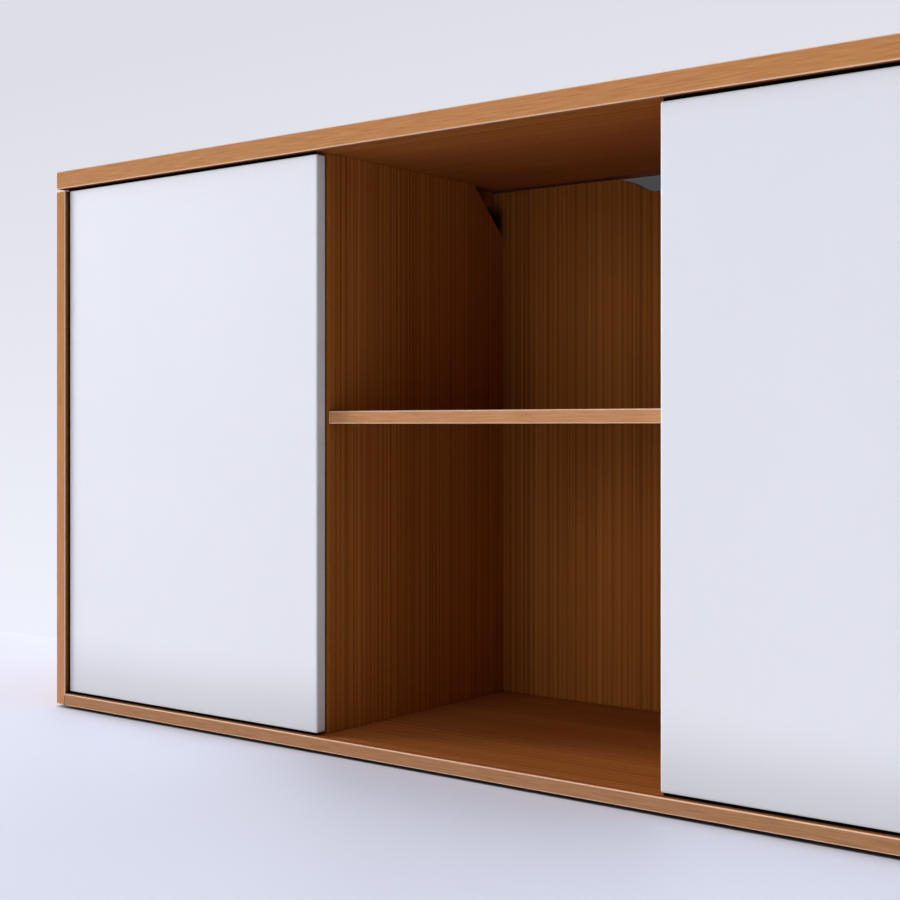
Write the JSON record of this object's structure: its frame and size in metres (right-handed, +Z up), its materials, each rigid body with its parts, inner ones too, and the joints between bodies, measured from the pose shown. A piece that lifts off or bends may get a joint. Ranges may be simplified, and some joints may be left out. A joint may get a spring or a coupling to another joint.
{
  "type": "office credenza",
  "caption": "Low wood credenza with an open centre bay and white sliding doors on recessed rollers, for storing office files and equipment.",
  "frame": {"origin": "on the floor, under the middle of the carcass", "axes": "+X to the right seen from the front, +Y to the rear, +Z up"},
  "size_m": [1.4, 0.4, 0.724],
  "materials": {
    "wood_level": "fine straight-grained reddish-brown wood laminate, grain along the width, satin",
    "wood_upright": "fine straight-grained reddish-brown wood laminate, grain upright, satin",
    "door_white": "white laminate on board, satin",
    "steel": "zinc-plated",
    "bronze_track": "bronze anodised, close to the wood's colour, matt",
    "nylon": "black moulded nylon, matt",
    "rubber": "black rubber, matt"
  },
  "bodies": {
    "carcass": {"top_panel": "wood_level", "bottom_panel": "wood_level", "left_end_panel": "wood_upright", "right_end_panel": "wood_upright", "left_gap_spacer": "wood_level", "right_gap_spacer": "wood_level", "left_divider": "wood_upright", "right_divider": "wood_upright", "back_panel": "wood_upright", "left_rear_batten": "wood_level", "right_rear_batten": "wood_level", "left_shelf": "wood_level", "centre_shelf": "wood_level", "right_shelf": "wood_level", "left_shelf_pin_1": "steel", "left_shelf_pin_2": "steel", "left_shelf_pin_3": "steel", "left_shelf_pin_4": "steel", "centre_shelf_pin_1": "steel", "centre_shelf_pin_2": "steel", "centre_shelf_pin_3": "steel", "centre_shelf_pin_4": "steel", "right_shelf_pin_1": "steel", "right_shelf_pin_2": "steel", "right_shelf_pin_3": "steel", "right_shelf_pin_4": "steel", "bottom_track": "bronze_track", "top_channel": "bronze_track", "left_track_stop": "rubber", "right_track_stop": "rubber", "front_glide_1": "rubber", "front_glide_2": "rubber", "front_glide_3": "rubber", "front_glide_4": "rubber", "rear_glide_1": "rubber", "rear_glide_2": "rubber", "rear_glide_3": "rubber", "rear_glide_4": "rubber"},
    "left_sliding_door": {"left_door": "door_white", "left_door_roller_housing_1": "nylon", "left_door_roller_axle_1": "steel", "left_door_roller_housing_2": "nylon", "left_door_roller_axle_2": "steel", "left_door_guide_sleeve_1": "nylon", "left_door_guide_sleeve_2": "nylon"},
    "right_sliding_door": {"right_door": "door_white", "right_door_roller_housing_1": "nylon", "right_door_roller_axle_1": "steel", "right_door_roller_housing_2": "nylon", "right_door_roller_axle_2": "steel", "right_door_guide_sleeve_1": "nylon", "right_door_guide_sleeve_2": "nylon"},
    "left_wheel_1": {"left_door_roller_wheel_1": "nylon"},
    "left_wheel_2": {"left_door_roller_wheel_2": "nylon"},
    "right_wheel_1": {"right_door_roller_wheel_1": "nylon"},
    "right_wheel_2": {"right_door_roller_wheel_2": "nylon"},
    "left_guide_1": {"left_door_guide_pin_1": "nylon"},
    "left_guide_2": {"left_door_guide_pin_2": "nylon"},
    "right_guide_1": {"right_door_guide_pin_1": "nylon"},
    "right_guide_2": {"right_door_guide_pin_2": "nylon"}
  },
  "joints": [
    {"name": "left_door_slide", "type": "slide", "parent": "carcass", "child": "left_sliding_door", "axis": [1, 0, 0], "range_m": [0, 0.453]},
    {"name": "right_door_slide", "type": "slide", "parent": "carcass", "child": "right_sliding_door", "axis": [1, 0, 0], "range_m": [-0.453, 0]},
    {"name": "left_wheel_1_spin", "type": "hinge", "parent": "left_sliding_door", "child": "left_wheel_1", "pos_m": [-0.619, -0.1865, 0.0252], "axis": [0, 1, 0], "continuous": true},
    {"name": "left_wheel_2_spin", "type": "hinge", "parent": "left_sliding_door", "child": "left_wheel_2", "pos_m": [-0.287, -0.1865, 0.0252], "axis": [0, 1, 0], "continuous": true},
    {"name": "right_wheel_1_spin", "type": "hinge", "parent": "right_sliding_door", "child": "right_wheel_1", "pos_m": [0.287, -0.1865, 0.0252], "axis": [0, 1, 0], "continuous": true},
    {"name": "right_wheel_2_spin", "type": "hinge", "parent": "right_sliding_door", "child": "right_wheel_2", "pos_m": [0.619, -0.1865, 0.0252], "axis": [0, 1, 0], "continuous": true},
    {"name": "left_guide_1_press", "type": "slide", "parent": "left_sliding_door", "child": "left_guide_1", "axis": [0, 0, 1], "range_m": [-0.0095, 0], "stiffness_N_per_m": 200, "springref_m": 0.01},
    {"name": "left_guide_2_press", "type": "slide", "parent": "left_sliding_door", "child": "left_guide_2", "axis": [0, 0, 1], "range_m": [-0.0095, 0], "stiffness_N_per_m": 200, "springref_m": 0.01},
    {"name": "right_guide_1_press", "type": "slide", "parent": "right_sliding_door", "child": "right_guide_1", "axis": [0, 0, 1], "range_m": [-0.0095, 0], "stiffness_N_per_m": 200, "springref_m": 0.01},
    {"name": "right_guide_2_press", "type": "slide", "parent": "right_sliding_door", "child": "right_guide_2", "axis": [0, 0, 1], "range_m": [-0.0095, 0], "stiffness_N_per_m": 200, "springref_m": 0.01}
  ],
  "couplings": [
    {"joint": "left_wheel_1_spin", "follows": "left_door_slide", "rad_per_m": 111.11},
    {"joint": "left_wheel_2_spin", "follows": "left_door_slide", "rad_per_m": 111.11},
    {"joint": "right_wheel_1_spin", "follows": "right_door_slide", "rad_per_m": 111.11},
    {"joint": "right_wheel_2_spin", "follows": "right_door_slide", "rad_per_m": 111.11}
  ]
}
